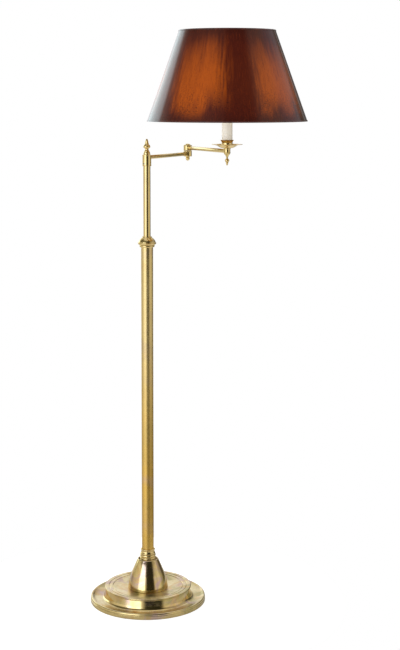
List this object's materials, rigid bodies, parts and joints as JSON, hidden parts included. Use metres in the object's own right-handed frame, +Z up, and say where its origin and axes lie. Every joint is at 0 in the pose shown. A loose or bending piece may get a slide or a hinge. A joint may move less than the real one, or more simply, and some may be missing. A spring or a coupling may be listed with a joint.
{
  "type": "swing-arm floor lamp",
  "caption": "Antique brass floor lamp: round stepped base, telescoping column, two-part swing arm and a tapered lacquered shade over a candle lampholder.",
  "frame": {"origin": "centre of the base's underside, on the floor and on the column's axis", "axes": "+Z up along the column; +X towards the shade at rest; +Y towards the elbow's side"},
  "size_m": [0.5494, 0.431, 1.4522],
  "materials": {
    "aged_brass": "polished antique brass, lacquered, with darker grooves",
    "plain_steel": "zinc plated",
    "weight_iron": "as cast",
    "foot_felt": "dark green pressed felt",
    "grommet_rubber": "matt",
    "guide_nylon": "moulded nylon",
    "sleeve_card": "satin cream",
    "core_porcelain": "satin",
    "switch_plastic": "dark brown moulding",
    "bulb_envelope": "frosted",
    "shade_lacquer": "gloss lacquer in dark red-brown with vertical brush streaks",
    "shade_foil": "satin gold",
    "shade_binding": "dark gloss binding tape"
  },
  "bodies": {
    "stand": {"base_flange": "aged_brass", "base_weight": "weight_iron", "base_plate": "plain_steel", "base_felt": "foot_felt", "cable_grommet": "grommet_rubber", "base_cone": "aged_brass", "base_pipe": "plain_steel", "base_nut": "plain_steel", "base_washer": "plain_steel", "neck_ring_lower": "aged_brass", "neck_ring_upper": "aged_brass", "column_plug": "aged_brass", "column_tube": "aged_brass", "collar_seat": "aged_brass", "collar_collet": "guide_nylon"},
    "collar": {"locking_collar": "aged_brass"},
    "riser": {"riser_tube": "aged_brass", "riser_guide": "guide_nylon", "hub_spindle": "aged_brass", "finial_dome": "aged_brass", "top_finial": "aged_brass"},
    "first_arm": {"column_hub": "aged_brass", "hub_screw": "plain_steel", "arm_1_tube": "aged_brass", "elbow_knuckle_lower": "aged_brass", "elbow_washer": "guide_nylon", "elbow_pin": "aged_brass", "elbow_acorn_nut": "aged_brass"},
    "second_arm": {"elbow_knuckle_upper": "aged_brass", "arm_2_tube": "aged_brass", "end_hub": "aged_brass", "end_drop_finial": "aged_brass", "drip_pan": "aged_brass", "candle_cup": "aged_brass", "candle_pipe": "plain_steel", "candle_sleeve": "sleeve_card", "lampholder_cap": "aged_brass", "lampholder_shell": "aged_brass", "switch_body": "switch_plastic", "lampholder_core": "core_porcelain", "centre_contact": "aged_brass", "shade_clamp_ring": "aged_brass", "bulb_cap": "plain_steel", "bulb_glass": "bulb_envelope", "shade_carrier": "aged_brass", "shade_spider": "aged_brass", "shade_skin": "shade_lacquer", "shade_lining": "shade_foil", "shade_top_trim": "shade_binding", "shade_bottom_trim": "shade_binding", "shade_bottom_ring": "aged_brass"},
    "switch": {"switch_knob": "switch_plastic"}
  },
  "joints": [
    {"name": "height_slide", "type": "slide", "parent": "stand", "child": "riser", "axis": [0, 0, 1], "range_m": [-0.16, 0.2]},
    {"name": "collar_turn", "type": "hinge", "parent": "stand", "child": "collar", "pos_m": [0, 0, 0.925], "axis": [0, 0, 1], "range_deg": [0, 120]},
    {"name": "column_swing", "type": "hinge", "parent": "riser", "child": "first_arm", "pos_m": [0, 0, 1.13], "axis": [0, 0, 1], "range_deg": [-160, 160]},
    {"name": "elbow_swing", "type": "hinge", "parent": "first_arm", "child": "second_arm", "pos_m": [0.10067, 0.21787, 1.15], "axis": [0, 0, 1], "range_deg": [-33, 293]},
    {"name": "switch_turn", "type": "hinge", "parent": "second_arm", "child": "switch", "pos_m": [0.22, 0, 1.282], "axis": [1, 0, 0], "range_deg": [0, 90]}
  ]
}
